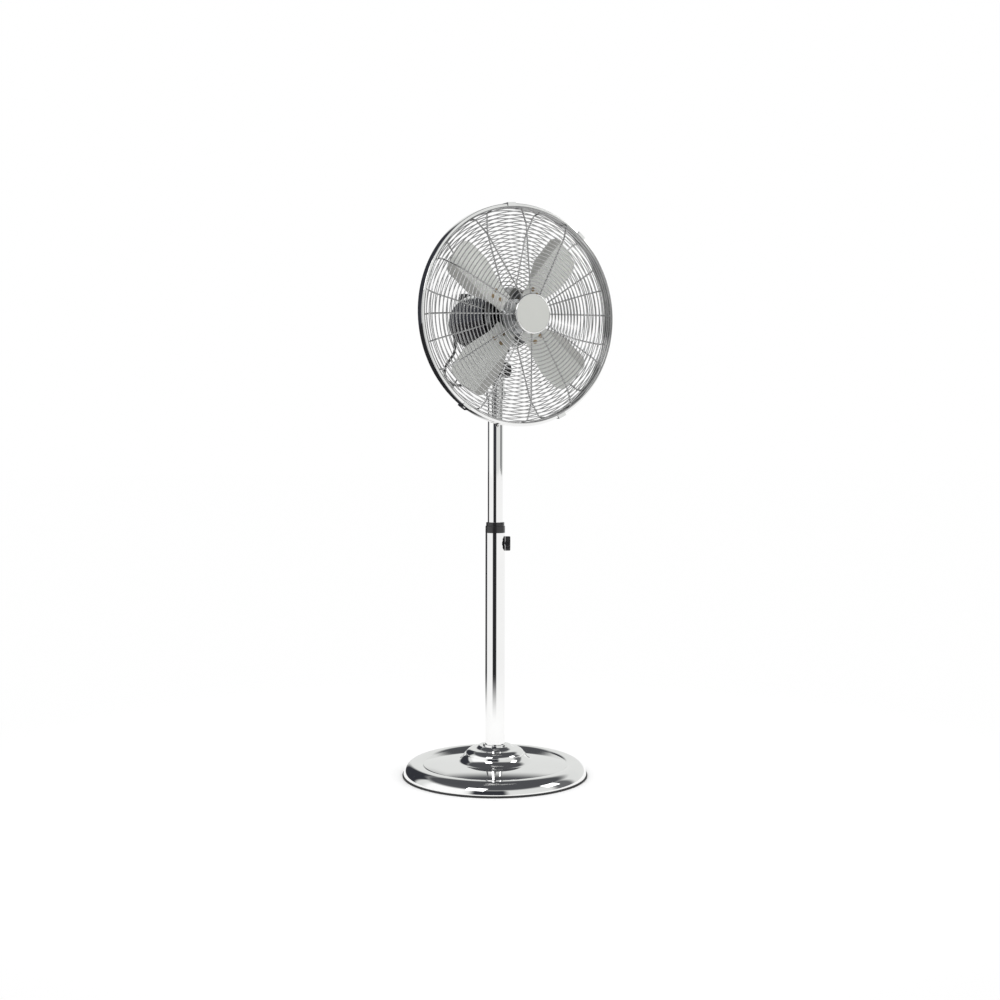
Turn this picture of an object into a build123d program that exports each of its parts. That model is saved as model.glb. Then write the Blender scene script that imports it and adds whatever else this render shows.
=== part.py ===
from build123d import *
import os
from math import asin, atan, cos, pi, radians, sin, sqrt, tan

# A pedestal fan in chrome: a round weighted base, a telescopic column, a tilting and
# swinging head with four blades, and a wire guard. Millimetres, +Z up, the origin on the
# floor under the column, and the blades facing -Y.

# ---------------------------------------------------------------- driving dimensions
# base
base_radius = 191.5        # outermost edge, rubber edge strip included
base_groove_radius = 149.0  # step pressed into the cover
cover_wall = 1.5
weight_radius = 150.0
weight_thickness = 12.0
bell_radius = 60.5
bell_height = 18.0
# column
lower_radius = 20.2
lower_wall = 2.0
upper_radius = 15.6
upper_wall = 1.5
lower_top = 503.5          # height at which the lower tube ends
collar_height = 21.5       # black ring above the lower tube
upper_bottom = 290.0
slide_down = 150.0
slide_up = 90.0
lock_height = 481.0        # height of the locking knob
lock_azimuth = -30.1       # its direction round the column, from +X
# neck
tilt_height = 838.0
tilt_lug_radius = 14.0
tilt_lug_width = 16.0
tilt_bolt_radius = 4.0
neck_radius = 20.0
neck_top = 872.0
spindle_radius = 6.0
# head
head_height = 940.5        # motor axis
shell_radius = 57.0
shell_wall = 1.2
shell_front = -45.0        # y of the front edge of the motor shell
shell_dome_start = 78.0
shell_dome_length = 68.0
shaft_radius = 4.0
# rotor
blade_count = 4
blade_tip_radius = 184.0
blade_root_radius = 34.0
blade_chord = 88.0
blade_root_chord = 46.0
blade_pitch = 16.0
blade_thickness = 1.2
tip_corner = 24.0
blade_plane = -82.0       # y of the middle of the rotor
blade_first_angle = 50.0
# guard
guard_radius = 220.0
rim_plane = -92.5
band_depth = 20.0
band_wall = 1.6
rim_wire = 3.0             # radii of the three gauges of wire
spoke_wire = 1.5
ring_wire = 1.1
ring_sides = 8             # the fine wire is drawn with flats, to stay light
spoke_count = 12
ring_pitch = 7.8
hub_face = -149.0
hub_radius = 39.5
hub_depth = 7.5

# ---------------------------------------------------------------- clearances
slide_gap = 0.08           # radial, tube in bush
turn_gap = 0.05            # radial, pin in bore
fixed_gap = 0.02           # radial, parts that are fastened together
free_gap = 0.5             # between bodies that pass each other
weld_gap = 0.03            # between crossing wires

bodies_out = {}


def keep(name, *solids):
    """Files one node: a list of its separate solids."""
    found = []
    for s in solids:
        found += list(s.solids())
    bodies_out[name] = found


def rod(radius, low, high):
    return Pos(0, 0, low) * Cylinder(radius, high - low, align=(Align.CENTER, Align.CENTER, Align.MIN))


def ring(outer, inner, low, high):
    return rod(outer, low, high) - rod(inner, low - 1, high + 1)


def block(x0, x1, y0, y1, z0, z1):
    size = (x1 - x0, y1 - y0, z1 - z0)
    return Pos((x0 + x1) / 2, (y0 + y1) / 2, (z0 + z1) / 2) * Box(*size)


def lathe(*edges):
    """Revolves an outline drawn in the XZ plane round Z."""
    outline = Wire(edges)
    return revolve(make_face(outline), Axis.Z)


def circle_edges(part, radius, height):
    """The circular edges of a turned part at one radius and height."""
    def right(e):
        c = e.arc_center if e.geom_type == GeomType.CIRCLE else None
        return c is not None and abs(e.radius - radius) < 0.01 and abs(c.Z - height) < 0.01
    return part.edges().filter_by(right)


def along_motor(part):
    """Turns what was drawn round Z so that its Z runs along world +Y on the motor axis."""
    return Location((0, 0, head_height), (-90, 0, 0)) * part


def along_x(part, height):
    """Turns what was drawn round Z so that its Z runs along world +X at a height."""
    return Location((0, 0, height), (0, 90, 0)) * part


def around(count, radius, start, piece):
    """Copies of a piece standing round Z."""
    step = 360 / count
    return [Rot(0, 0, start + i * step) * Pos(radius, 0, 0) * piece for i in range(count)]


def lobed_knob(radius, lobes, depth, bore, bore_depth):
    """A clamping knob round Z with scallops between its lobes, its back face at z = 0."""
    scallop = radius * sin(pi / lobes) * 0.55
    cuts = around(lobes, radius + scallop * 0.45, 180 / lobes, rod(scallop, -1, depth + 1))
    body = rod(radius, 0, depth)
    body = fillet(circle_edges(body, radius, depth), 2.2)
    for c in cuts:
        body -= c
    return body - rod(bore, -1, bore_depth)


# ---------------------------------------------------------------- base
floor_strip = 4.0          # rubber edge that stands on the floor
cover_edge = base_radius - 2.0
rim_top = 25.0             # height of the cover at the step
step_height = 1.2
plate_rise = 5.0
bell_foot = 45.0           # height of the cover where the bell stands on it
bell_top = bell_foot + bell_height
neck_of_bell = 35.0

edge_strip = ring(base_radius, cover_edge - 5, 0, floor_strip)
edge_strip = fillet(circle_edges(edge_strip, base_radius, floor_strip), 1.2)
edge_strip = fillet(circle_edges(edge_strip, base_radius, 0), 1.0)
keep("base_edge_strip", edge_strip)


def cover_outline(drop):
    """The line of the pressed cover from its rolled edge to the column, lowered by drop."""
    edge = cover_edge - drop
    groove = base_groove_radius
    shoulder = bell_radius + 20
    low = floor_strip
    bulge = 9.0
    rim_mid = ((edge + groove) / 2 + bulge, 0, (low + rim_top) / 2 + bulge - drop)
    return [
        ThreePointArc((edge, 0, low), rim_mid, (groove + 2, 0, rim_top - drop)),
        Line((groove + 2, 0, rim_top - drop), (groove, 0, rim_top - step_height - drop)),
        Line((groove, 0, rim_top - step_height - drop), (groove - 2, 0, rim_top - drop)),
        Line((groove - 2, 0, rim_top - drop), (shoulder, 0, rim_top + plate_rise - drop)),
        ThreePointArc(
            (shoulder, 0, rim_top + plate_rise - drop),
            (shoulder - 12, 0, rim_top + plate_rise + 5.5 - drop),
            (bell_radius + 3, 0, bell_foot - drop),
        ),
        Line((bell_radius + 3, 0, bell_foot - drop), (lower_radius + 8, 0, bell_foot - drop)),
    ]


outer_line = cover_outline(0)
inner_line = cover_outline(cover_wall)
hole = lower_radius + 8
closing = [
    Line((hole, 0, bell_foot), (hole, 0, bell_foot - cover_wall)),
    Line((cover_edge - cover_wall, 0, floor_strip), (cover_edge, 0, floor_strip)),
]
base_cover = lathe(*outer_line, *inner_line, *closing)
keep("base_cover", base_cover)

weight_low = 6.0
weight_top = weight_low + weight_thickness
flange_radius = 46.0
flange_screw_circle = 36.0
flange_screw_radius = 3.0
lock_screw_radius = 5.0
weight = ring(weight_radius, lock_screw_radius + turn_gap, weight_low, weight_top)
for spot in around(4, flange_screw_circle, 45, rod(flange_screw_radius + turn_gap, 0, weight_top + 1)):
    weight -= spot
keep("base_weight", weight)

# one ring under the weight carries it on the floor strip
carrier_top = floor_strip
carrier = ring(cover_edge - cover_wall - 4.0, weight_radius - 10, carrier_top, weight_low)
keep("base_carrier_ring", carrier)

flange_top = weight_top + 6.0
socket_top = bell_foot + 12.0
socket_radius = lower_radius - lower_wall - fixed_gap
flange = ring(flange_radius, 10, weight_top, flange_top) + ring(socket_radius, 10, flange_top, socket_top)
for spot in around(4, flange_screw_circle, 45, rod(flange_screw_radius + turn_gap, weight_top - 1, flange_top + 1)):
    flange -= spot
keep("column_flange", flange)

screw = rod(flange_screw_radius, weight_low, flange_top) + rod(5.2, flange_top, flange_top + 3.2)
keep("flange_screws", *around(4, flange_screw_circle, 45, screw))

bell_wall = 1.2
bell_arc = ThreePointArc(
    (bell_radius, 0, bell_foot + 2),
    (bell_radius - 9, 0, bell_foot + 8.2),
    (neck_of_bell + 8, 0, bell_foot + 11.5),
)
bell_neck_arc = ThreePointArc(
    (neck_of_bell + 8, 0, bell_foot + 11.5),
    (neck_of_bell + 1.6, 0, bell_foot + 13.8),
    (neck_of_bell - 2, 0, bell_top),
)
bell_hole = lower_radius + 0.35
bell = lathe(
    Line((bell_radius, 0, bell_foot), (bell_radius, 0, bell_foot + 2)),
    bell_arc,
    bell_neck_arc,
    Line((neck_of_bell - 2, 0, bell_top), (bell_hole, 0, bell_top)),
    Line((bell_hole, 0, bell_top), (bell_hole, 0, bell_top - bell_wall)),
    Line((bell_hole, 0, bell_top - bell_wall), (neck_of_bell - 4, 0, bell_top - bell_wall)),
    Line((neck_of_bell - 4, 0, bell_top - bell_wall), (neck_of_bell + 2, 0, bell_foot + 9.5)),
    Line((neck_of_bell + 2, 0, bell_foot + 9.5), (bell_radius - 8, 0, bell_foot + 6.5)),
    Line((bell_radius - 8, 0, bell_foot + 6.5), (bell_radius - bell_wall, 0, bell_foot)),
    Line((bell_radius - bell_wall, 0, bell_foot), (bell_radius, 0, bell_foot)),
)
keep("column_bell", bell)

seal_radius = lower_radius + 4.5
seal = ring(seal_radius, lower_radius + fixed_gap, bell_top, bell_top + 3.0)
seal = fillet(circle_edges(seal, seal_radius, bell_top + 3.0), 1.4)
keep("bell_seal_ring", seal)

# ---------------------------------------------------------------- column
tube_foot = flange_top
lower_tube = ring(lower_radius, lower_radius - lower_wall, tube_foot, lower_top)
lock_stud_radius = 4.0
insert_radius = 7.0
lower_tube -= Pos(0, 0, lock_height) * Rot(0, 0, lock_azimuth) * Rot(0, 90, 0) * rod(insert_radius, 0, 40)
keep("lower_tube", lower_tube)

collar_top = lower_top + collar_height
lip_radius = lower_radius - 1.4
lip_height = 7.5
bush_depth = 14.0          # how far the collar's sleeve reaches into the lower tube
collar_bore = upper_radius + slide_gap
collar = ring(lower_radius, collar_bore, lower_top, collar_top - lip_height)
collar = fillet(circle_edges(collar, lower_radius, collar_top - lip_height), 0.8)
collar += ring(lip_radius, collar_bore, collar_top - lip_height, collar_top)
collar = fillet(circle_edges(collar, lip_radius, collar_top), 1.2)
sleeve_radius = lower_radius - lower_wall - fixed_gap
collar += ring(sleeve_radius, collar_bore, lower_top - bush_depth + 4, lower_top)
keep("height_collar", collar)


def lock_axis(part):
    """Places what was drawn round Z on the locking screw's axis, Z pointing outwards."""
    return Pos(0, 0, lock_height) * Rot(0, 0, lock_azimuth) * Rot(0, 90, 0) * part


shoe_inner = upper_radius + 0.3
insert_inner = shoe_inner + 1.2
insert = ring(insert_radius - fixed_gap, lock_stud_radius + turn_gap, insert_inner, lower_radius)
keep("lock_insert", lock_axis(insert))
stud_tip = insert_inner + 0.2
knob_back = lower_radius + 0.5
knob_depth = 10.5
knob_radius = 15.0
stud = rod(lock_stud_radius, stud_tip, knob_back + knob_depth - 3.0)
knob = lobed_knob(knob_radius, 8, knob_depth, lock_stud_radius + fixed_gap, knob_depth - 3.0)
keep("height_knob", lock_axis(Pos(0, 0, knob_back) * knob), lock_axis(stud))

# upper tube, with a plastic guide at its lower end
tube_top = 800.0
upper_tube = ring(upper_radius, upper_radius - upper_wall, upper_bottom, tube_top)
guide_radius = lower_radius - lower_wall - slide_gap
guide_length = 30.0
guide = ring(guide_radius, 9.0, upper_bottom - 3, upper_bottom) + ring(
    upper_radius - upper_wall - fixed_gap, 9.0, upper_bottom, upper_bottom + guide_length
)
keep("tube_guide", guide)

# ---------------------------------------------------------------- clevis on top of the column
clevis_radius = upper_radius + 3.4
clevis_low = 778.0
cheek_radius = 15.0
cheek_inner = tilt_lug_width / 2 + 0.3
cheek_outer = cheek_inner + 7.0
sleeve = rod(clevis_radius, clevis_low, tube_top + 10) - rod(upper_radius + fixed_gap, clevis_low - 1, tube_top)
cheek_low = tube_top + 4
cheek_bar = block(-cheek_outer, cheek_outer, -cheek_radius, cheek_radius, cheek_low, tilt_height)
cheek_round = along_x(rod(cheek_radius, -cheek_outer, cheek_outer), tilt_height)
slot_low = tilt_height - tilt_lug_radius - 2.5
lug_slot = block(-cheek_inner, cheek_inner, -40, 40, slot_low, tilt_height + 40)
clevis_column = rod(clevis_radius, clevis_low, tilt_height + 30)
clevis = sleeve + ((cheek_bar + cheek_round) & clevis_column) - lug_slot
clevis -= along_x(rod(tilt_bolt_radius + fixed_gap, -40, 40), tilt_height)
clevis_screw_radius = 2.0
clevis_screw_height = clevis_low + 12.0
screw_spots = [
    Pos(0, 0, clevis_screw_height) * Rot(0, 0, a) * Rot(0, 90, 0)
    for a in (90, 210, 330)
]
screw_inner = upper_radius - upper_wall - 1.0
for spot in screw_spots:
    clevis -= spot * rod(clevis_screw_radius + fixed_gap, 5, 40)
keep("column_clevis", clevis)
for spot in screw_spots:
    upper_tube -= spot * rod(clevis_screw_radius + fixed_gap, 5, 40)
keep("upper_tube", upper_tube)
clevis_screw = rod(clevis_screw_radius, screw_inner, clevis_radius) + rod(3.6, clevis_radius + 0.05, clevis_radius + 2.0)
clevis_screw += rod(clevis_screw_radius, clevis_radius - 0.1, clevis_radius + 0.1)
keep("clevis_screws", *[spot * clevis_screw for spot in screw_spots])

bolt_head = 5.0
nut_seat = cheek_outer
tilt_knob_back = nut_seat + 2.6
tilt_knob_depth = 12.0
tilt_knob_radius = 16.0
bolt = rod(tilt_bolt_radius, -nut_seat - 2.0, tilt_knob_back + tilt_knob_depth - 4.0)
hexagon = extrude(RegularPolygon(7.5, 6), bolt_head)
bolt += Pos(0, 0, -nut_seat - 2.0 - bolt_head) * hexagon
keep("tilt_bolt", along_x(bolt, tilt_height))
washer_radius = 9.0
left_washer = ring(washer_radius, tilt_bolt_radius + fixed_gap, -nut_seat - 2.0, -nut_seat - 0.02)
right_washer = ring(washer_radius, tilt_bolt_radius + fixed_gap, nut_seat + 0.02, nut_seat + 2.0)
keep("tilt_washers", along_x(left_washer, tilt_height), along_x(right_washer, tilt_height))
tilt_knob = lobed_knob(tilt_knob_radius, 8, tilt_knob_depth, tilt_bolt_radius + turn_gap, tilt_knob_depth - 4.0)
keep("tilt_knob", along_x(Pos(0, 0, tilt_knob_back) * tilt_knob, tilt_height))

# ---------------------------------------------------------------- neck
neck_low = tilt_height + 20.0
bush_radius = spindle_radius + 2.5
neck = rod(neck_radius, neck_low, neck_top)
neck = fillet(circle_edges(neck, neck_radius, neck_low), 2.0)
half_lug = tilt_lug_width / 2
neck += block(-half_lug, half_lug, -tilt_lug_radius, tilt_lug_radius, tilt_height, neck_low + 1)
neck += along_x(rod(tilt_lug_radius, -half_lug, half_lug), tilt_height)
neck -= along_x(rod(tilt_bolt_radius + turn_gap, -40, 40), tilt_height)
spindle_low = neck_low + 0.5
neck -= rod(bush_radius + fixed_gap, spindle_low, neck_top + 1)
cord_radius = 2.8
cord_end_y = neck_radius + 4.0
cord_end_z = 864.0
grommet_radius = 4.6


def neck_back(part):
    """Places what was drawn round Z on the lead's hole, Z pointing out of the neck's back."""
    return Location((0, 0, cord_end_z), (-90, 0, 0)) * part


neck -= neck_back(rod(grommet_radius - 1.0 + fixed_gap, bush_radius + 2.0, neck_radius + 5))
keep("neck_block", neck)
bush = ring(bush_radius, spindle_radius + turn_gap, spindle_low + 1.0, neck_top)
keep("neck_bush", bush)
grommet = rod(grommet_radius - 1.0, neck_radius - 6, neck_radius + 0.6) + rod(grommet_radius, neck_radius + 0.6, cord_end_y)
keep("neck_grommet", neck_back(grommet))
thrust = 1.0
washer = ring(neck_radius - 4, spindle_radius + 0.3, neck_top + 0.05, neck_top + thrust)
keep("thrust_washer", washer)

# ---------------------------------------------------------------- motor carrier
saddle_low = neck_top + thrust + 0.05
saddle_length = 34.0       # half length along Y
saddle_half = 17.0
saddle = block(-saddle_half, saddle_half, -saddle_length, saddle_length, saddle_low, head_height)
saddle = fillet(saddle.edges().filter_by(Axis.Z), 8.0)
saddle -= along_motor(rod(shell_radius + fixed_gap, -200, 200))
saddle -= rod(spindle_radius + fixed_gap, saddle_low - 1, saddle_low + 8)
saddle = saddle.solids().sort_by(Axis.Z)[0]
spindle = rod(spindle_radius, spindle_low + 1.5, saddle_low + 8)
keep("pan_spindle", spindle)

# ---------------------------------------------------------------- motor
stator_front = -14.0
stator_back = 16.0
stator_radius = 46.0
stator_bore = 25.6
rotor_core_radius = stator_bore - 0.4
front_bracket = -40.0      # y of the back face of the front bracket
bracket_thickness = 4.0
back_bracket = 40.0
bearing_radius = 8.0
nose_radius = 13.0
nose_front = -66.0
spacer_radius = 34.0
back_grille_hub = -57.0    # y of the back grille's wires at its middle plate
plate_thickness = 2.0
grille_seat = back_grille_hub - spoke_wire
inner_radius = shell_radius - shell_wall - 0.3

stator = ring(stator_radius, stator_bore, stator_front, stator_back)
for slot in around(8, stator_bore + 5.5, 22.5, rod(4.0, stator_front - 1, stator_back + 1)):
    stator -= slot
post_circle = 42.0
post_radius = 2.5
for post in around(4, post_circle, 45, rod(post_radius + fixed_gap, -60, 60)):
    stator -= post
keep("stator_stack", along_motor(stator))
coil_section = 7.0
coil_centre = 32.0
coils = [
    Pos(0, 0, stator_front - coil_section - 0.3) * Torus(coil_centre, coil_section),
    Pos(0, 0, stator_back + coil_section + 0.3) * Torus(coil_centre, coil_section),
]
keep("stator_windings", *[along_motor(c) for c in coils])

nose_back = front_bracket - bracket_thickness
bracket = ring(inner_radius, bearing_radius + fixed_gap, nose_back, front_bracket)
bracket += ring(nose_radius, bearing_radius + fixed_gap, nose_front, nose_back)
bracket += ring(nose_radius, bearing_radius + fixed_gap, front_bracket, front_bracket + 6)
bracket += ring(spacer_radius, nose_radius - 1, grille_seat, nose_back + 1)
bracket -= rod(shaft_radius + 0.5, -100, 0)
for post in around(4, post_circle, 45, rod(post_radius + fixed_gap, -60, 60)):
    bracket -= post
keep("motor_front_bracket", along_motor(bracket))
back = ring(inner_radius, bearing_radius + fixed_gap, back_bracket, back_bracket + bracket_thickness)
back += ring(nose_radius, bearing_radius + fixed_gap, back_bracket - 6, back_bracket)
for post in around(4, post_circle, 45, rod(post_radius + fixed_gap, -60, 60)):
    back -= post
keep("motor_back_bracket", along_motor(back))
post = rod(post_radius, nose_back - 0.05, back_bracket + bracket_thickness)
post += rod(4.2, back_bracket + bracket_thickness + 0.05, back_bracket + bracket_thickness + 3)
post += rod(post_radius, back_bracket + bracket_thickness - 1, back_bracket + bracket_thickness + 1)
keep("motor_tie_screws", *[along_motor(p) for p in around(4, post_circle, 45, post)])
bearing_length = 12.0
front_bearing = ring(bearing_radius, shaft_radius + turn_gap, nose_back - 6, nose_back - 6 + bearing_length)
back_bearing = ring(bearing_radius, shaft_radius + turn_gap, back_bracket - 6, back_bracket + bracket_thickness)
keep("shaft_bearings", along_motor(front_bearing), along_motor(back_bearing))

# shell, with a rounded back
dome_end = shell_dome_start + shell_dome_length


def dome(wall):
    """The space inside the shell's outline, inset by the wall, from its front to its back."""
    r = shell_radius - wall
    reach = shell_dome_length - wall
    bend = EllipticalCenterArc((0, 0), reach, r, start_angle=0, arc_size=90)
    arc = Plane(origin=(0, 0, shell_dome_start), x_dir=(0, 0, 1), z_dir=(0, 1, 0)) * bend
    low = shell_front - wall
    return lathe(
        Line((0, 0, low), (r, 0, low)),
        Line((r, 0, low), (r, 0, shell_dome_start)),
        arc,
        Line((0, 0, shell_dome_start + reach), (0, 0, low)),
    )


shell = along_motor(dome(0) - dome(shell_wall))
clutch_x = 0.0
clutch_y = 132.0
clutch_rod_radius = 2.5
gland_x = -34.0
gland_y = 112.0
gland_radius = 5.0
shell -= Pos(clutch_x, clutch_y, 0) * rod(clutch_rod_radius + 0.5, head_height, head_height + 80)
shell -= Pos(gland_x, gland_y, 0) * rod(gland_radius - 1 + fixed_gap, head_height - 80, head_height)
switch_radius = 5.0
shell -= along_motor(rod(switch_radius + 0.5, shell_dome_start, 200))
saddle_screw_y = 24.0
for y in (-saddle_screw_y, saddle_screw_y):
    shell -= Pos(0, y, 0) * rod(2.5 + 0.3, head_height - 80, head_height)
keep("motor_shell", shell)

saddle_screw_tip = head_height - shell_radius + 5.0
saddle_screw = rod(2.5, saddle_low + 5.0, saddle_screw_tip) + rod(4.5, saddle_low + 1.5, saddle_low + 5.0)
saddle_bores = rod(2.5 + fixed_gap, 0, head_height) + rod(4.5 + fixed_gap, 0, saddle_low + 5.0)
for y in (-saddle_screw_y, saddle_screw_y):
    saddle -= Pos(0, y, 0) * saddle_bores
keep("motor_saddle", saddle)
keep("saddle_screws", *[Pos(0, y, 0) * saddle_screw for y in (-saddle_screw_y, saddle_screw_y)])
strap = along_motor(
    ring(shell_radius - shell_wall - 0.3, shell_radius - shell_wall - 3.0, -30.0, 30.0)
)
strap &= block(-9, 9, -40, 40, 0, head_height)
for y in (-saddle_screw_y, saddle_screw_y):
    strap -= Pos(0, y, 0) * rod(2.5 + fixed_gap, 0, head_height)
keep("shell_strap", strap)

# lead gland under the back of the shell
gland_surface = shell_radius * sqrt(1 - ((gland_y - shell_dome_start) / shell_dome_length) ** 2)
gland_z = head_height - sqrt(gland_surface ** 2 - gland_x ** 2)
gland_low = gland_z - 12.0
gland = rod(gland_radius - 1, gland_z - 2.0, gland_z + 6.0)
gland += rod(gland_radius - 1.4, gland_low, gland_z - 1.9)
keep("lead_gland", Pos(gland_x, gland_y, 0) * gland)

# speed switch at the back: body inside, shaft and knob outside
switch_seat = dome_end - 10.0
switch_body = block(-13, 13, -13, 13, switch_seat - 16, switch_seat - 2)
keep("speed_switch", along_motor(switch_body + rod(switch_radius, switch_seat - 2, dome_end - 0.5)))
speed_knob_back = dome_end + 0.6
speed_knob = rod(13.0, speed_knob_back, speed_knob_back + 9.0)
speed_knob = fillet(circle_edges(speed_knob, 13.0, speed_knob_back + 9.0), 1.5)
speed_knob += block(-1.6, 1.6, -12, 12, speed_knob_back + 8, speed_knob_back + 13.0)
speed_knob += rod(2.5, dome_end - 0.3, speed_knob_back + 1)
keep("speed_knob", along_motor(speed_knob))

# capacitor strapped under the top of the shell
keep("capacitor", along_motor(Pos(-32, -28, 0) * block(-7, 7, -5, 5, 50, 82)))

# ---------------------------------------------------------------- oscillation gears
gear_y = 58.0              # where the worm wheel meets the worm
worm_radius = 5.0
wheel_radius = 14.0
wheel_x = worm_radius + wheel_radius - 1.2
wheel_low = head_height - 4.0
wheel_high = head_height + 4.0
box_front = back_bracket + bracket_thickness + 3.5
gearbox = block(-9.5, 36, box_front, box_front + 36, head_height - 16, head_height + 16)
gearbox -= block(-7.5, 34, box_front - 1, box_front + 34, head_height - 14, head_height + 17)
gearbox -= Pos(wheel_x, gear_y + 6, 0) * rod(3.0 + turn_gap, head_height - 30, head_height)
keep("gearbox", gearbox)
lid = block(-9.5, 36, box_front, box_front + 36, head_height + 16.05, head_height + 18.5)
lid -= Pos(wheel_x, gear_y + 6, 0) * rod(3.0 + turn_gap, head_height, head_height + 30)
keep("gearbox_lid", lid)


def gear_outline(teeth, root, tip, low, high):
    """A disc with plain tapered teeth, drawn round Z."""
    points = []
    step = 2 * pi / teeth
    for i in range(teeth):
        a = i * step
        points += [(root * cos(a - step * 0.30), root * sin(a - step * 0.30))]
        points += [(tip * cos(a - step * 0.14), tip * sin(a - step * 0.14))]
        points += [(tip * cos(a + step * 0.14), tip * sin(a + step * 0.14))]
        points += [(root * cos(a + step * 0.30), root * sin(a + step * 0.30))]
    face = make_face(Polyline(*points, close=True))
    return Pos(0, 0, low) * extrude(face, high - low)


wheel = gear_outline(28, wheel_radius - 1.6, wheel_radius, wheel_low, wheel_high)
wheel += rod(3.0, head_height - 22, head_height + 17)
crank = rod(9.0, head_height - 26, head_height - 22) + Pos(6.0, 0, 0) * rod(2.0, head_height - 33, head_height - 25)
keep("worm_wheel", Pos(wheel_x, gear_y + 6, 0) * (wheel + crank))

# ---------------------------------------------------------------- clutch knob
clutch_surface = shell_radius * sqrt(1 - ((clutch_y - shell_dome_start) / shell_dome_length) ** 2)
clutch_seat = head_height + sqrt(clutch_surface ** 2 - clutch_x ** 2) + 14.5
clutch_radius = 12.5
clutch_height = 15.0
clutch_knob = lobed_knob(clutch_radius, 8, clutch_height, 0.9, 2.0)
clutch = Pos(0, 0, clutch_seat) * clutch_knob + rod(clutch_rod_radius, clutch_seat - 26, clutch_seat + 2.5)
keep("clutch_knob", Pos(clutch_x, clutch_y, 0) * clutch)

# ---------------------------------------------------------------- guard
half_band = band_depth / 2
band_inner = guard_radius - band_wall
lip_reach = 5.0
band_front = rim_plane - half_band
band_back = rim_plane + half_band
band = ring(guard_radius, band_inner, band_front, band_back)
band += ring(band_inner + 0.1, band_inner - lip_reach, band_front, band_front + band_wall)
band += ring(band_inner + 0.1, band_inner - lip_reach, band_back - band_wall, band_back)
band_corners = circle_edges(band, guard_radius, band_front) + circle_edges(band, guard_radius, band_back)
band = fillet(band_corners, 1.2)
keep("rim_band", along_motor(band))

wire_centre = band_inner - 0.3 - rim_wire
front_rim_y = rim_plane - rim_wire - 0.4
back_rim_y = rim_plane + rim_wire + 0.4
spoke_end = wire_centre - rim_wire - spoke_wire - weld_gap


def grille_line(hub_r, hub_y, shoulder_r, shoulder_y, turn_y, rim_y, big, small):
    """The centre line of one spoke, from the hub out to the rim wire."""
    spots = [(hub_r, 0, hub_y), (shoulder_r, 0, shoulder_y), (spoke_end, 0, turn_y), (spoke_end, 0, rim_y)]
    return FilletPolyline(*spots, radius=[big, small])


front_hub = (30.0, -140.5)
front_shoulder = (174.0, -131.0)
back_hub = (48.0, back_grille_hub)
back_shoulder = (172.0, back_grille_hub + 3)
front_line = grille_line(*front_hub, *front_shoulder, -113.0, front_rim_y + 3, 46.0, 10.0)
back_line = grille_line(*back_hub, *back_shoulder, -72.0, back_rim_y - 3, 46.0, 10.0)
front_slope = (front_shoulder[1] - front_hub[1]) / (front_shoulder[0] - front_hub[0])


def spokes(line, start):
    start_plane = Plane(origin=line @ 0, z_dir=line % 0)
    one = sweep(start_plane * Circle(spoke_wire), path=line)
    return [along_motor(Rot(0, 0, start + i * 360 / spoke_count) * one) for i in range(spoke_count)]


def grille_rings(line, first, outward):
    """Rings at an even pitch along a spoke, welded on its outer side."""
    made = []
    reach = spoke_wire + ring_wire + weld_gap
    total = line.length
    distance = first
    while distance < total - 12.0:
        at = line @ (distance / total)
        run = line % (distance / total)
        centre = Vector(at.X, 0, at.Z) + Vector(run.Z, 0, -run.X) * (reach * outward)
        section = Plane.XZ * Pos(centre.X, centre.Z) * RegularPolygon(ring_wire, ring_sides)
        made.append(along_motor(revolve(section, Axis.Z)))
        distance += ring_pitch
    return made


rim_front = along_motor(Pos(0, 0, front_rim_y) * Torus(wire_centre, rim_wire))
rim_back = along_motor(Pos(0, 0, back_rim_y) * Torus(wire_centre, rim_wire))

# hub plates: the front one is a pressed cap with a plain disc in it
hub_rim = 2.5
cap = rod(hub_radius, hub_face, hub_face + hub_depth)
cap = fillet(circle_edges(cap, hub_radius, hub_face), hub_rim - 0.3)
cap -= rod(hub_radius - 1.2, hub_face + 3.6, hub_face + hub_depth + 1)
disc_recess = 1.0
cap -= rod(hub_radius - hub_rim, hub_face - 1, hub_face + disc_recess)
keep("hub_cap", along_motor(cap))
disc = rod(hub_radius - hub_rim - 0.15, hub_face + 0.05, hub_face + disc_recess - 0.02)
keep("hub_disc", along_motor(disc))
anchor_radius = hub_radius - 2.0
anchor_low = front_hub[1] + front_slope * (anchor_radius - front_hub[0]) + spoke_wire + weld_gap
anchor = ring(anchor_radius, 12.0, anchor_low, anchor_low + 1.5)
front_wires = spokes(front_line, 2.0) + grille_rings(front_line, 18.0, 1)
keep("front_grille", rim_front, along_motor(anchor), *front_wires)

mount_front = back_grille_hub - spoke_wire - weld_gap - plate_thickness
mount = ring(60.0, nose_radius + 0.4, mount_front, mount_front + plate_thickness)
for hole in around(4, 46.0, 0, rod(5.0, mount_front - 1, mount_front + plate_thickness + 1)):
    mount -= hole
back_wires = spokes(back_line, 17.0) + grille_rings(back_line, 16.0, -1)
keep("back_grille", rim_back, along_motor(mount), *back_wires)
nut_low = mount_front - 8.0
grille_nut = ring(24.0, nose_radius + fixed_gap, nut_low, mount_front - 0.03)
for cut in around(8, 25.5, 0, rod(4.0, nut_low - 1, mount_front + 1)):
    grille_nut -= cut
keep("grille_nut", along_motor(grille_nut))

clip_angles = (96.0, 50.0, 296.0, 236.0)
clip_half = 9.0
clip_outer = guard_radius + 2.2


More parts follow.
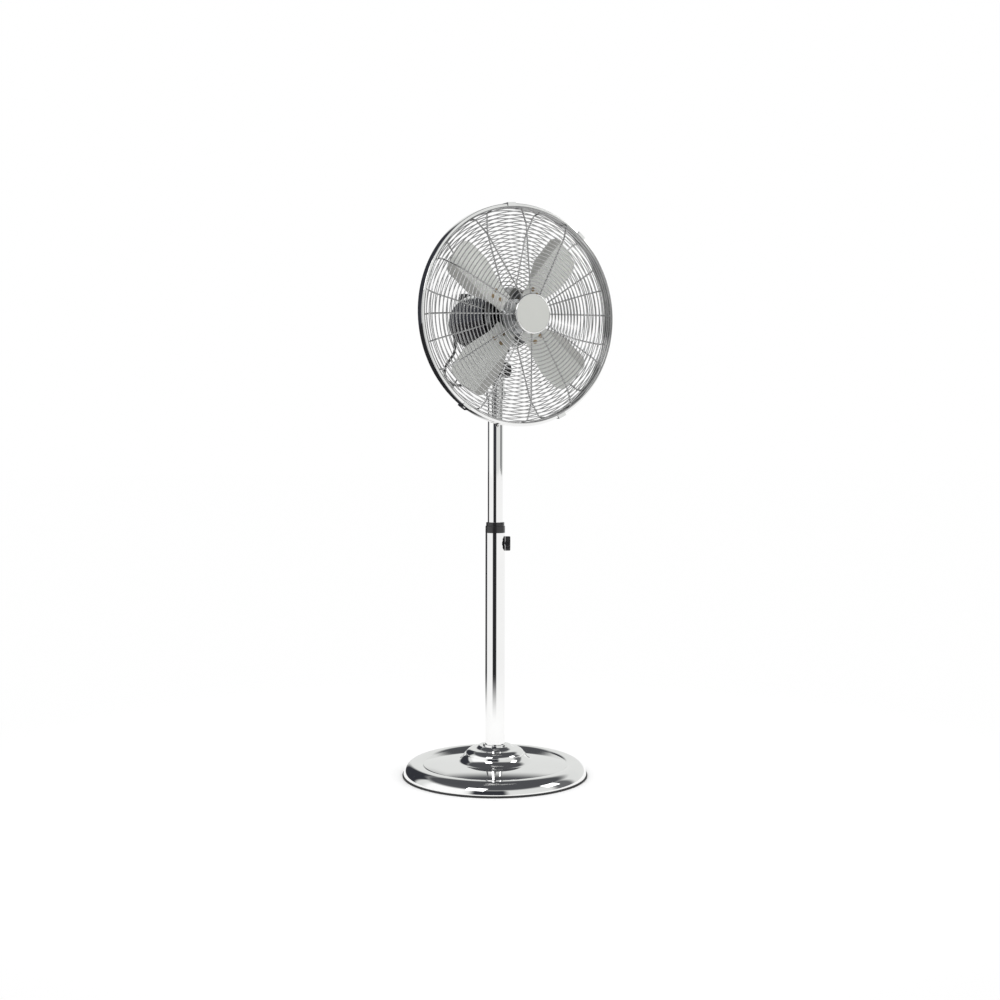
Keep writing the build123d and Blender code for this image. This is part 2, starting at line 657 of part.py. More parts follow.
def rim_clip(angle):
    """A sheet clip that hooks over both edges of the rim band."""
    shape = ring(clip_outer, guard_radius + 0.05, band_front - 1.8, band_back + 1.8)
    shape += ring(guard_radius + 0.1, band_inner - 3.0, band_front - 1.8, band_front - 0.05)
    shape += ring(guard_radius + 0.1, band_inner - 3.0, band_back + 0.05, band_back + 1.8)
    wedge = block(guard_radius - 12, clip_outer + 2, -clip_half, clip_half, band_front - 3, band_back + 3)
    return along_motor(Rot(0, 0, -angle) * (shape & wedge))


rivet = Rot(0, 90, 0) * rod(2.2, clip_outer + 0.03, clip_outer + 1.1)
rivet = Pos(0, 0, rim_plane) * rivet
clip_screws = [along_motor(Rot(0, 0, -a) * rivet) for a in clip_angles]
keep("rim_clips", *[rim_clip(a) for a in clip_angles], *clip_screws)

# ---------------------------------------------------------------- rotor
core = ring(rotor_core_radius, shaft_radius + fixed_gap, stator_front - 1, stator_back + 1)
keep("rotor_core", along_motor(core))
shaft_front = blade_plane - 20.0
shaft_back = gear_y + 14.0
shaft = rod(shaft_radius, shaft_front, back_bracket + bracket_thickness + 1)
shaft += rod(3.0, back_bracket + bracket_thickness, shaft_back)
keep("motor_shaft", along_motor(shaft))
worm_parts = ring(worm_radius - 1.4, 3.0 + fixed_gap, gear_y - 5, gear_y + 13.5)
keep("worm", along_motor(worm_parts))

hub_disc_radius = 34.0
hub_thickness = 2.5
hub_front = blade_plane - hub_thickness / 2
boss_radius = 11.0
boss_back = nose_front - 1.5
rotor_hub = rod(boss_radius, blade_plane - 10, boss_back)
rotor_hub += rod(hub_disc_radius, hub_front - 1.0, hub_front + hub_thickness)
rotor_hub -= rod(shaft_radius + fixed_gap, -200, 0)
arm_width = 30.0
arm_end = 74.0


def blade_frame(index):
    """Radial direction as X, chord as Y and the blade's normal as Z."""
    angle = radians(blade_first_angle + index * 360 / blade_count)
    out = Vector(cos(angle), 0, sin(angle))
    forward = Vector(sin(angle), 0, -cos(angle))
    chord = forward * cos(radians(blade_pitch)) + Vector(0, 1, 0) * sin(radians(blade_pitch))
    return Plane(origin=(0, blade_plane, head_height), x_dir=out, z_dir=out.cross(chord))


camber_radius = 220.0
bend_width = 18.0
bend_angle = 32.0


def blade_section(thickness, lift):
    """A curved strip across the chord, with its front edge bent back."""
    half = blade_chord / 2
    start = -half + bend_width
    def curve(radius):
        def at(v):
            return (v * radius / camber_radius, sqrt(radius ** 2 - (v * radius / camber_radius) ** 2) - camber_radius)
        return at(half), at((half + start) / 2), at(start)
    top = curve(camber_radius + lift + thickness)
    low = curve(camber_radius + lift)
    slope = radians(bend_angle) - asin(-start / camber_radius)
    reach = (-bend_width * cos(slope), bend_width * sin(slope))
    top_end = (top[2][0] + reach[0], top[2][1] + reach[1])
    low_end = (low[2][0] + reach[0], low[2][1] + reach[1])
    edges = [
        ThreePointArc(*top), Line(top[2], top_end), Line(top_end, low_end),
        Line(low_end, low[2]), ThreePointArc(*low[::-1]), Line(low[0], top[0]),
    ]
    return make_face(Wire(edges))


def blade_plan():
    """The paddle outline: narrow at the root, wide and round-cornered at the tip."""
    root = blade_root_chord / 2
    half = blade_chord / 2
    tip = blade_tip_radius
    outline = Polyline(
        (blade_root_radius, -root), (blade_root_radius + 16, -root), (120, -half), (tip, -half),
        (tip, half), (124, half), (blade_root_radius + 16, root), (blade_root_radius, root), close=True,
    )
    face = make_face(outline)
    corners = face.vertices().filter_by(lambda v: v.X > tip - 1)
    face = fillet(corners, tip_corner)
    waists = face.vertices().filter_by(lambda v: 45 < v.X < 130)
    return fillet(waists, 28) & Circle(tip)


section_plane = Plane(origin=(boss_radius, 0, 0), x_dir=(0, 1, 0), z_dir=(1, 0, 0))
strip = extrude(section_plane * blade_section(blade_thickness, 0), blade_tip_radius)
plan_prism = Pos(0, 0, -40) * extrude(blade_plan(), 80)
blade = strip & plan_prism
arm_strip = extrude(section_plane * blade_section(2.0, blade_thickness + 0.03), blade_tip_radius)
arm_plan = block(boss_radius + 6, arm_end, -arm_width / 2, arm_width / 2, -20, 20)
arm = arm_strip & arm_plan
rivet_radius = 2.5
rivet_spots = [(48, 0), (66, 8), (66, -8)]
for x, y in rivet_spots:
    bore = Pos(x, y, 0) * rod(rivet_radius + fixed_gap, -20, 20)
    blade -= bore
    arm -= bore


def rivet_at(x, y):
    surface = sqrt(camber_radius ** 2 - y ** 2) - camber_radius
    under = Pos(0, 0, surface) * rod(rivet_radius + 1.8, -1.9, -0.45)
    over = Pos(0, 0, surface) * rod(rivet_radius + 1.8, blade_thickness + 2.2, blade_thickness + 3.4)
    return Pos(x, y, 0) * (under + over + Pos(0, 0, surface) * rod(rivet_radius, -1, blade_thickness + 3))


rotor_turned = along_motor(rotor_hub)
rivets_placed = []
for i in range(blade_count):
    place = blade_frame(i)
    keep("blade_%d" % (i + 1), place * blade)
    rotor_turned += place * arm
    for x, y in rivet_spots:
        rivets_placed.append(place * rivet_at(x, y))
keep("rotor_hub", rotor_turned)
keep("blade_rivets", *rivets_placed)
nut = rod(8.0, blade_plane - 17, blade_plane - 10.03) - rod(shaft_radius + fixed_gap, -200, 0)
nut = fillet(circle_edges(nut, 8.0, blade_plane - 17), 1.0)
keep("rotor_nut", along_motor(nut))

# ---------------------------------------------------------------- motor lead
lead_points = [
    (gland_x, gland_y, gland_low), (gland_x, gland_y, gland_low - 12.0), (-39, 122, 866), (-44, 134, 853),
    (-44, 143, 837), (-38, 144, 822), (-29, 134, 812), (-19, 117, 809), (-11, 99, 814), (-6, 83, 824),
    (-3, 69, 838), (-1, 55, 852), (0, 40, cord_end_z), (0, cord_end_y, cord_end_z),
]


def corner_radii(points):
    """The largest arc that fits each corner, 0.45 of the shorter run each side."""
    found = []
    spots = [Vector(*p) for p in points]
    for a, b, c in zip(spots, spots[1:], spots[2:]):
        turn = radians((b - a).get_angle(c - b))
        found.append(0.45 * min((b - a).length, (c - b).length) / tan(turn / 2))
    return found


lead_radii = corner_radii(lead_points)
print("lead radii", [round(r, 1) for r in lead_radii])
lead_line = FilletPolyline(*lead_points, radius=lead_radii)
lead = sweep(Plane(origin=lead_line @ 0, z_dir=lead_line % 0) * Circle(cord_radius), path=lead_line)
print("lead length", round(lead_line.length, 1), "volume ratio", lead.volume / (pi * cord_radius ** 2 * lead_line.length))
keep("motor_lead", lead)

os.makedirs("parts", exist_ok=True)
for name, solids in bodies_out.items():
    shape = solids[0] if len(solids) == 1 else Compound(children=solids)
    export_step(shape, "parts/%s.step" % name)
print(len(bodies_out), "nodes")
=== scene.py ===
from math import asin, atan2, cos, hypot, pi, radians, sin, sqrt

import bmesh
import bpy
from mathutils import Matrix, Vector


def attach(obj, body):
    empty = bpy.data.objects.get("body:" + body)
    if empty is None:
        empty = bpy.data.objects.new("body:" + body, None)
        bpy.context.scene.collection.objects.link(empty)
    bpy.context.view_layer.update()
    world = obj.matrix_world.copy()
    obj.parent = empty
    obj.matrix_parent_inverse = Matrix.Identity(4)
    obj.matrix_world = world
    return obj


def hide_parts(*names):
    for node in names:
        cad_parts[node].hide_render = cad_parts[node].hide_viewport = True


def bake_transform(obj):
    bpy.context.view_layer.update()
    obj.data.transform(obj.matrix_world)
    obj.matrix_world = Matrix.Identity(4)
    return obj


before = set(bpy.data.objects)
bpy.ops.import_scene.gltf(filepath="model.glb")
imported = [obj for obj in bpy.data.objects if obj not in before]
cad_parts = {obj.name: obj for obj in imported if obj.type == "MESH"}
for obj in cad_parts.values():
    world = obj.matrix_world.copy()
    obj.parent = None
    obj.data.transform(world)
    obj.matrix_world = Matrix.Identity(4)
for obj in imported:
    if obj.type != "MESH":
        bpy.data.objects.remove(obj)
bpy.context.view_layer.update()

# ---- Camera and light -------------------------------------------------------
# A 49 mm lens stands 2.8 m off to the front left of the fan, a little above the middle of
# its height. The surround is white. Only mirrors see its dark patches, behind the camera,
# to the left, to the right and overhead, which give the chrome its stripes.
lens_place = Vector((-1.3873, -2.4139, 0.679))
heading = Vector((0.5013, 0.8653, 0.0)).normalized()
pitch = radians(2.23)
roll = radians(0.1)
aim = heading * cos(pitch) - Vector((0, 0, 1)) * sin(pitch)
camera_data = bpy.data.cameras.new("camera")
camera_data.lens = 48.7
camera_data.sensor_width = 36
camera = bpy.data.objects.new("camera", camera_data)
bpy.context.scene.collection.objects.link(camera)
turn = aim.to_track_quat("-Z", "Y").to_matrix().to_4x4() @ Matrix.Rotation(roll, 4, "Z")
camera.matrix_world = Matrix.Translation(lens_place) @ turn
bpy.context.scene.camera = camera
bpy.context.scene.view_settings.view_transform = "Standard"


class Shader:
    """A node tree under construction: add makes a node and sets or links its inputs."""

    def __init__(self, tree):
        self.tree = tree
        self.tree.nodes.clear()

    def add(self, kind, inputs=None, **settings):
        node = self.tree.nodes.new(kind)
        for key, value in settings.items():
            setattr(node, key, value)
        for key, value in (inputs or {}).items():
            if isinstance(value, bpy.types.NodeSocket):
                self.tree.links.new(value, node.inputs[key])
            else:
                node.inputs[key].default_value = value
        return node

    def link(self, out, into):
        self.tree.links.new(out, into)


world = bpy.data.worlds.new("surround")
world.use_nodes = True
bpy.context.scene.world = world
sky = Shader(world.node_tree)
toward_camera = atan2(-heading.y, -heading.x)
front_centre = toward_camera - radians(7)
left_centre = toward_camera - radians(139)


ceiling_blur = 0.12        # sine of the height over which a patch fades out


def surround_patch(tree, direction, centre, half_width, soft, ceiling):
    """1 inside a patch of the surround: an azimuth either way of centre, below a height."""
    turn_back = {"Vector": direction, "Angle": -centre}
    spin = tree.add("ShaderNodeVectorRotate", turn_back, rotation_type="Z_AXIS")
    parts = tree.add("ShaderNodeSeparateXYZ", {"Vector": spin.outputs[0]})
    angle = tree.add("ShaderNodeMath", {0: parts.outputs[1], 1: parts.outputs[0]}, operation="ARCTAN2")
    off = tree.add("ShaderNodeMath", {0: angle.outputs[0]}, operation="ABSOLUTE")
    across = tree.add("ShaderNodeMapRange", {
        "Value": off.outputs[0], "From Min": half_width - soft, "From Max": half_width + soft,
        "To Min": 1.0, "To Max": 0.0,
    }, interpolation_type="SMOOTHSTEP")
    upward = tree.add("ShaderNodeMapRange", {
        "Value": parts.outputs[2], "From Min": ceiling - ceiling_blur, "From Max": ceiling + ceiling_blur,
        "To Min": 1.0, "To Max": 0.0,
    }, interpolation_type="SMOOTHSTEP")
    both = {0: across.outputs[0], 1: upward.outputs[0]}
    return tree.add("ShaderNodeMath", both, operation="MULTIPLY").outputs[0]


place = sky.add("ShaderNodeTexCoord").outputs["Generated"]
behind_camera = surround_patch(sky, place, front_centre, radians(22), radians(5), 0.62)
left_side = surround_patch(sky, place, left_centre, radians(24), radians(5), 0.70)
right_side = surround_patch(sky, place, toward_camera + radians(97), radians(17), radians(7), 0.70)
soft_box = surround_patch(sky, place, toward_camera - radians(66), radians(30), radians(8), 0.80)
height = sky.add("ShaderNodeSeparateXYZ", {"Vector": place}).outputs[2]
overhead = sky.add("ShaderNodeMapRange", {
    "Value": height, "From Min": 0.52, "From Max": 0.72, "To Min": 0.0, "To Max": 0.94,
}, interpolation_type="SMOOTHSTEP").outputs[0]
sides = sky.add("ShaderNodeMath", {0: behind_camera, 1: left_side}, operation="MAXIMUM").outputs[0]
right_shade = sky.add("ShaderNodeMath", {0: right_side, 1: 0.85}, operation="MULTIPLY").outputs[0]
walls = sky.add("ShaderNodeMath", {0: sides, 1: right_shade}, operation="MAXIMUM").outputs[0]
darkest = sky.add("ShaderNodeMath", {0: walls, 1: overhead}, operation="MAXIMUM").outputs[0]
panels = sky.add("ShaderNodeMixRGB", {
    "Fac": soft_box, "Color1": (0.80, 0.81, 0.80, 1), "Color2": (1.1, 1.1, 1.1, 1),
}).outputs[0]
tone = sky.add("ShaderNodeMixRGB", {
    "Fac": darkest, "Color1": panels, "Color2": (0.036, 0.038, 0.046, 1),
}).outputs[0]
mirrored = sky.add("ShaderNodeLightPath").outputs["Is Glossy Ray"]
shown = sky.add("ShaderNodeMixRGB", {
    "Fac": mirrored, "Color1": (1.0, 1.0, 1.0, 1), "Color2": tone,
}).outputs[0]
light = sky.add("ShaderNodeBackground", {"Color": shown, "Strength": 1.0})
sky.add("ShaderNodeOutputWorld", {"Surface": light.outputs[0]})


def area_lamp(name, place, target, size, power):
    """A square lamp at place that looks at target."""
    lamp = bpy.data.lights.new(name, "AREA")
    lamp.energy = power
    lamp.size = size
    holder = bpy.data.objects.new(name, lamp)
    bpy.context.scene.collection.objects.link(holder)
    look = (Vector(target) - Vector(place)).to_track_quat("-Z", "Y").to_matrix().to_4x4()
    holder.matrix_world = Matrix.Translation(place) @ look


area_lamp("key_left", (-2.4, -1.6, 2.6), (0, 0, 0.7), 1.4, 22)
area_lamp("fill_right", (2.2, -1.8, 1.9), (0, 0, 0.7), 1.2, 10)


def node_material(name):
    """A new material and the shader that fills it."""
    made = bpy.data.materials.new(name)
    made.use_nodes = True
    return made, Shader(made.node_tree)


# ---- Floor ------------------------------------------------------------------
# A white matt floor that melts into the white surround at a distance. Mirrors see the
# foot of the surround's dark patches in it.
floor_half = 30.0
floor_corners = [(-floor_half, -floor_half, 0), (floor_half, -floor_half, 0)]
floor_corners += [(floor_half, floor_half, 0), (-floor_half, floor_half, 0)]
floor_mesh = bpy.data.meshes.new("floor")
floor_mesh.from_pydata(floor_corners, [], [(0, 1, 2, 3)])
floor = bpy.data.objects.new("floor", floor_mesh)
bpy.context.scene.collection.objects.link(floor)
floor_paint, paint_tree = node_material("floor_paint")
ground = paint_tree.add("ShaderNodeTexCoord").outputs["Object"]
away = paint_tree.add("ShaderNodeVectorMath", {0: ground}, operation="LENGTH").outputs["Value"]
beyond = paint_tree.add("ShaderNodeMapRange", {
    "Value": away, "From Min": 0.55, "From Max": 1.3, "To Min": 0.0, "To Max": 1.0,
}, interpolation_type="SMOOTHSTEP").outputs[0]
front_patch = surround_patch(paint_tree, ground, front_centre, radians(22), radians(5), 0.9)
left_patch = surround_patch(paint_tree, ground, left_centre, radians(30), radians(8), 0.9)
patches = paint_tree.add("ShaderNodeMath", {0: front_patch, 1: left_patch}, operation="MAXIMUM").outputs[0]
dim = paint_tree.add("ShaderNodeMath", {0: patches, 1: beyond}, operation="MULTIPLY").outputs[0]
mirrored = paint_tree.add("ShaderNodeLightPath").outputs["Is Glossy Ray"]
dark_here = paint_tree.add("ShaderNodeMath", {0: dim, 1: mirrored}, operation="MULTIPLY").outputs[0]
paint = paint_tree.add("ShaderNodeMixRGB", {
    "Fac": dark_here, "Color1": (0.95, 0.95, 0.95, 1), "Color2": (0.02, 0.02, 0.022, 1),
}).outputs[0]
matt = paint_tree.add("ShaderNodeBsdfDiffuse", {"Color": paint})
distant = paint_tree.add("ShaderNodeEmission", {"Color": paint, "Strength": 1.05})
blend = paint_tree.add("ShaderNodeMixShader", {"Fac": beyond, 1: matt.outputs[0], 2: distant.outputs[0]})
paint_tree.add("ShaderNodeOutputMaterial", {"Surface": blend.outputs[0]})
floor.data.materials.append(floor_paint)

# ---- Base -------------------------------------------------------------------
# A heavy iron disc under a pressed and chromed cover with a rolled edge and a shallow
# step, standing on a black rubber strip. The column's flange is screwed to the disc.


def surface(name, colour, metallic, roughness, vary, bump=0.0, scale=600.0, coat=0.0, stretch=(1, 1, 1)):
    """A finish with fine uneven roughness, a slight drift of colour and a fine bump."""
    made, tree = node_material(name)
    where = tree.add("ShaderNodeTexCoord").outputs["Object"]
    mapped = tree.add("ShaderNodeMapping", {"Vector": where, "Scale": stretch}).outputs[0]
    fine_noise = {"Vector": mapped, "Scale": scale, "Detail": 3.0}
    fine = tree.add("ShaderNodeTexNoise", fine_noise).outputs["Fac"]
    broad_noise = {"Vector": where, "Scale": 14.0, "Detail": 4.0}
    broad = tree.add("ShaderNodeTexNoise", broad_noise).outputs["Fac"]
    rough = tree.add("ShaderNodeMapRange", {
        "Value": broad, "From Min": 0.3, "From Max": 0.7,
        "To Min": roughness * (1 - vary), "To Max": roughness * (1 + vary),
    }).outputs[0]
    shade = tuple(c * (1 - 0.35 * vary) for c in colour)
    mixed = {"Fac": broad, "Color1": (*colour, 1), "Color2": (*shade, 1)}
    tint = tree.add("ShaderNodeMixRGB", mixed).outputs[0]
    body = tree.add("ShaderNodeBsdfPrincipled", {
        "Base Color": tint, "Metallic": metallic, "Roughness": rough, "Coat Weight": coat,
    })
    if bump:
        raised = {"Height": fine, "Strength": bump, "Distance": 0.0002}
        relief = tree.add("ShaderNodeBump", raised).outputs[0]
        tree.link(relief, body.inputs["Normal"])
    tree.add("ShaderNodeOutputMaterial", {"Surface": body.outputs[0]})
    return made


def finish_mesh(mesh, name, body, material, nodes=(), flat_angle=35.0):
    """Merges, shades smooth with sharp folds kept, and hands the piece to its body."""
    work = bmesh.new()
    work.from_mesh(mesh)
    bmesh.ops.remove_doubles(work, verts=work.verts, dist=1e-6)
    bmesh.ops.recalc_face_normals(work, faces=work.faces)
    for face in work.faces:
        face.smooth = True
    for edge in work.edges:
        bent = len(edge.link_faces) == 2 and edge.calc_face_angle(0) > radians(flat_angle)
        edge.smooth = not bent
    work.to_mesh(mesh)
    work.free()
    piece = bpy.data.objects.new(name, mesh)
    bpy.context.scene.collection.objects.link(piece)
    if not mesh.materials:
        mesh.materials.append(material)
    if body:
        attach(piece, body)
    if nodes:
        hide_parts(*nodes)
    return piece


def arc(a, b, bulge, steps=12):
    """Points from a to b on an arc that stands bulge out to the left of the way."""
    ax, ay = a
    bx, by = b
    run = hypot(bx - ax, by - ay)
    radius = (run * run / 4 + bulge * bulge) / (2 * bulge)
    mx, my = (ax + bx) / 2, (ay + by) / 2
    nx, ny = -(by - ay) / run, (bx - ax) / run
    cx, cy = mx + nx * (bulge - radius), my + ny * (bulge - radius)
    start = atan2(ay - cy, ax - cx)
    sweep = atan2(by - cy, bx - cx) - start
    while sweep > pi:
        sweep -= 2 * pi
    while sweep < -pi:
        sweep += 2 * pi
    size = abs(radius)
    angles = [start + sweep * i / steps for i in range(steps + 1)]
    return [(cx + size * cos(angle), cy + size * sin(angle)) for angle in angles]


def turned(profile, axis="Z", segments=180, height=0.0):
    """A mesh of revolution from a closed outline of (radius, station) points."""
    steps = zip(profile[-1:] + profile[:-1], profile)
    outline = [b for a, b in steps if hypot(b[0] - a[0], b[1] - a[1]) > 1e-7]
    work = bmesh.new()
    rows = []
    for k in range(segments):
        a = 2 * pi * k / segments
        row = []
        for r, s in outline:
            upright = (r * cos(a), r * sin(a), s)
            lying = (r * cos(a), s, r * sin(a) + height)
            row.append(work.verts.new(upright if axis == "Z" else lying))
        rows.append(row)
    for k in range(segments):
        near, far = rows[k], rows[(k + 1) % segments]
        for i in range(len(outline)):
            j = (i + 1) % len(outline)
            work.faces.new((near[i], near[j], far[j], far[i]))
    bmesh.ops.remove_doubles(work, verts=work.verts, dist=1e-7)
    flat = [f for f in work.faces if f.calc_area() < 1e-14]
    bmesh.ops.delete(work, geom=flat, context="FACES_ONLY")
    mesh = bpy.data.meshes.new("turned")
    work.to_mesh(mesh)
    work.free()
    return mesh


def refined(node, body, material, flat_angle=32.0):
    """A smoothly shaded copy of a CAD node, for a shape that needs no more detail."""
    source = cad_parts[node]
    mesh = source.data.copy()
    mesh.materials.clear()
    return finish_mesh(mesh, node + "_fine", body, material, (node,), flat_angle)


chrome = surface("chrome", (0.93, 0.93, 0.925), 1.0, 0.035, vary=0.25)
iron = surface("cast_iron", (0.05, 0.05, 0.052), 0.3, 0.6, vary=0.3, bump=0.8, scale=350.0)
zinc = surface("zinc", (0.60, 0.61, 0.62), 1.0, 0.32, vary=0.3, bump=0.2, scale=900.0)
rubber = surface("black_rubber", (0.016, 0.016, 0.017), 0.0, 0.62, vary=0.2, bump=0.35, scale=900.0)

base_radius = 0.1915
strip_height = 0.004
cover_edge = base_radius - 0.002
groove_radius = 0.149
rim_top = 0.025
plate_top = 0.030
bell_foot = 0.045
bell_radius = 0.0605
lower_radius = 0.0202
cover_wall = 0.0015
step_drop = 0.0012
edge_bulge = 0.0122
strip_inner = 0.1845

strip_line = (
    [(strip_inner, 0.0), (base_radius - 0.001, 0.0)]
    + arc((base_radius - 0.001, 0.0), (base_radius, 0.001), -0.0003, 4)
    + arc((base_radius, 0.0028), (base_radius - 0.0012, strip_height), -0.00035, 4)
    + [(strip_inner, strip_height)]
)
finish_mesh(turned(strip_line), "edge_strip", "stand", rubber, ("base_edge_strip",), 40)


def rolled_edge(drop):
    """The cover's rolled edge: an arc from the rubber strip up and in to the step."""
    a = (cover_edge - drop, strip_height)
    b = (groove_radius + 0.002, rim_top - drop)
    return arc(a, b, -edge_bulge - drop * 0.1, 40)


def plate_line(drop):
    """The cover from its step to the foot of the bell."""
    g = groove_radius
    step = [(g, rim_top - step_drop - drop), (g - 0.002, rim_top - drop)]
    foot = (bell_radius + 0.020, plate_top - drop)
    rise = arc(foot, (bell_radius + 0.003, bell_foot - drop), 0.0035, 14)
    return step + rise + [(lower_radius + 0.008, bell_foot - drop)]


cover_outside = rolled_edge(0) + plate_line(0)
cover_inside = rolled_edge(cover_wall) + plate_line(cover_wall)
cover_line = cover_outside + cover_inside[::-1]
finish_mesh(turned(cover_line, segments=256), "cover", "stand", chrome, ("base_cover",), 40)

refined("base_weight", "stand", iron)
for node in ("base_carrier_ring", "column_flange", "flange_screws"):
    refined(node, "stand", zinc)

# ---- Bell over the column's foot ---------------------------------------------
# A chromed pressing that drops over the tube and hides the flange, with a narrow ring
# where the tube leaves it.
bell_top = bell_foot + 0.018
bell_wall = 0.0012
bell_bore = lower_radius + 0.0004
bell_waist = (bell_radius - 0.0175, bell_foot + 0.0115)
bell_neck = 0.033
bell_outer = (
    [(bell_radius, bell_foot)]
    + arc((bell_radius, bell_foot + 0.002), bell_waist, -0.0035, 14)
    + arc(bell_waist, (bell_neck, bell_top), 0.0012, 8)
    + [(bell_bore, bell_top)]
)
bell_inner = [(r - bell_wall, z - bell_wall) for r, z in bell_outer[:-1]]
bell_inner[0] = (bell_radius - bell_wall, bell_foot)
bell_inner.append((bell_bore, bell_top - bell_wall))
bell_mesh = turned(bell_outer + bell_inner[::-1], segments=192)
finish_mesh(bell_mesh, "bell", "stand", chrome, ("column_bell",), 40)
refined("bell_seal_ring", "stand", chrome)

# ---- Column -----------------------------------------------------------------
# Two drawn chrome tubes, the upper one sliding in the lower. The black collar rings the
# upper tube and sits on the lower one, and the black lobed knob clamps the upper tube.
black = surface(
    "black_plastic", (0.012, 0.012, 0.013), 0.0, 0.30, vary=0.25, bump=0.15, scale=1200.0, coat=0.15,
)

upper_radius = 0.0156
lower_wall = 0.002
upper_wall = 0.0015
lower_bottom = 0.024
lower_top = 0.5035
upper_bottom = 0.290
upper_top = 0.800


def pipe(outer, wall, low, high):
    """A tube with its outer edges broken."""
    edge = 0.0003
    inner = outer - wall
    line = [(inner, low), (outer - edge, low), (outer, low + edge)]
    line += [(outer, high - edge), (outer - edge, high), (inner, high)]
    return turned(line, segments=160)


lower_mesh = pipe(lower_radius, lower_wall, lower_bottom, lower_top)
finish_mesh(lower_mesh, "lower_tube_fine", "stand", chrome, ("lower_tube",), 40)
upper_mesh = pipe(upper_radius, upper_wall, upper_bottom, upper_top)
finish_mesh(upper_mesh, "upper_tube_fine", "mast", chrome, ("upper_tube",), 40)
refined("height_collar", "stand", black)
refined("lock_insert", "stand", zinc)
refined("height_knob", "height_lock", black)
refined("tube_guide", "mast", black)

# ---- Tilt joint and neck -----------------------------------------------------
# A chromed fork screwed on top of the upper tube, with the tilt bolt and its black knob
# through it. The cast neck tilts on the bolt and carries the spindle that the head swings on.
casting = surface(
    "black_casting", (0.022, 0.022, 0.024), 0.1, 0.45, vary=0.25, bump=0.5, scale=700.0, coat=0.2,
)
bronze = surface("bronze", (0.30, 0.22, 0.13), 1.0, 0.38, vary=0.3, bump=0.2, scale=800.0)
refined("column_clevis", "mast", chrome)
refined("clevis_screws", "mast", zinc)
refined("tilt_bolt", "mast", zinc)
refined("tilt_washers", "mast", zinc)
refined("tilt_knob", "tilt_lock", black)
refined("neck_block", "neck", casting)
refined("neck_bush", "neck", bronze)
refined("neck_grommet", "neck", rubber)
refined("thrust_washer", "neck", rubber)
refined("pan_spindle", "head", zinc)

# ---- Motor ------------------------------------------------------------------
# Laminated stator with enamelled coils between two cast brackets, held by long screws,
# on a cast saddle under the shell. Its speed switch and capacitor are in the same shell.
steel = surface(
    "electrical_steel", (0.28, 0.28, 0.30), 1.0, 0.42, vary=0.3, bump=0.8, scale=220.0, stretch=(0.1, 9, 0.1),
)
copper = surface(
    "enamelled_copper", (0.50, 0.20, 0.08), 1.0, 0.28, vary=0.3, bump=0.6, scale=900.0, stretch=(1, 4, 1),
)
refined("motor_saddle", "head", casting)
refined("saddle_screws", "head", zinc)
refined("shell_strap", "head", zinc)
refined("motor_front_bracket", "head", casting)
refined("motor_back_bracket", "head", casting)
refined("motor_tie_screws", "head", zinc)
refined("stator_stack", "head", steel)
refined("stator_windings", "head", copper)
refined("shaft_bearings", "head", bronze)
refined("rotor_core", "rotor", steel)
refined("motor_shaft", "rotor", zinc)
refined("speed_switch", "head", black)
refined("speed_knob", "speed_dial", black)
refined("capacitor", "head", black)

# ---- Swing drive ------------------------------------------------------------
# A worm on the back of the shaft turns a plastic wheel in a cast box. The black clutch
# knob on top of the shell starts and stops the swing.
refined("worm", "rotor", bronze)
refined("worm_wheel", "gear", black)
refined("gearbox", "head", casting)
refined("gearbox_lid", "head", black)
refined("clutch_knob", "clutch", black)

# ---- Motor shell ------------------------------------------------------------
# A drawn chrome can with a rounded back, open at the front behind the grille. The head's
# axis is that of the motor.
head_height = 0.9405
shell_radius = 0.057
shell_front = -0.045
dome_start = 0.078
dome_length = 0.068
shell_wall = 0.0012
switch_hole = 0.0055


def shell_line(wall):
    """The shell's half outline, inset by wall, from its open front to the switch's hole."""
    r = shell_radius - wall
    reach = dome_length - wall
    side = [(r, shell_front), (r, shell_front + 0.0008), (r, dome_start - 0.02)]
    angles = [pi / 2 * i / 40 for i in range(38)]
    back = [(r * cos(a), dome_start + reach * sin(a)) for a in angles]
    last = (switch_hole, dome_start + reach * sqrt(1 - (switch_hole / r) ** 2))
    return side + back + [last]


shell_mesh = turned(shell_line(0) + shell_line(shell_wall)[::-1], "Y", 192, head_height)
finish_mesh(shell_mesh, "shell", "head", chrome, ("motor_shell",), 40)

# ---- Guard ------------------------------------------------------------------
# Each half is twelve wires welded to a heavy rim wire, with fine rings welded across
# them at an even pitch. A bright band and four clips close the two rims on each other,
# and a black nut holds the back half on the motor's nose.
wire_chrome = surface("wire_chrome", (0.50, 0.50, 0.50), 1.0, 0.07, vary=0.2)
guard_radius = 0.220
rim_plane = -0.0925
band_wall = 0.0016
band_half = 0.010
rim_wire = 0.0030
spoke_wire = 0.0015
ring_wire = 0.0010
ring_pitch = 0.0078
weld_gap = 0.00003
spoke_count = 12
last_ring = 0.012          # least distance from a spoke's end to its last ring
wire_centre = guard_radius - band_wall - 0.0003 - rim_wire
spoke_end = wire_centre - rim_wire - spoke_wire - weld_gap


def filleted(points, radii, steps=10):
    """A polyline with its inner corners rounded."""
    line = [Vector(points[0])]
    for a, b, c, radius in zip(points, points[1:], points[2:], radii):
        a, b, c = Vector(a), Vector(b), Vector(c)
        back, on = (a - b).normalized(), (c - b).normalized()
        half = back.angle(on) / 2
        reach = radius / (sin(half) / cos(half))
        centre = b + (back + on).normalized() * (radius / sin(half))
        first, last = b + back * reach, b + on * reach
        u, v = first - centre, last - centre
        total = u.angle(v)
        for i in range(steps + 1):
            t = i / steps
            line.append(centre + (u * sin((1 - t) * total) + v * sin(t * total)) / sin(total))
    line.append(Vector(points[-1]))
    return line


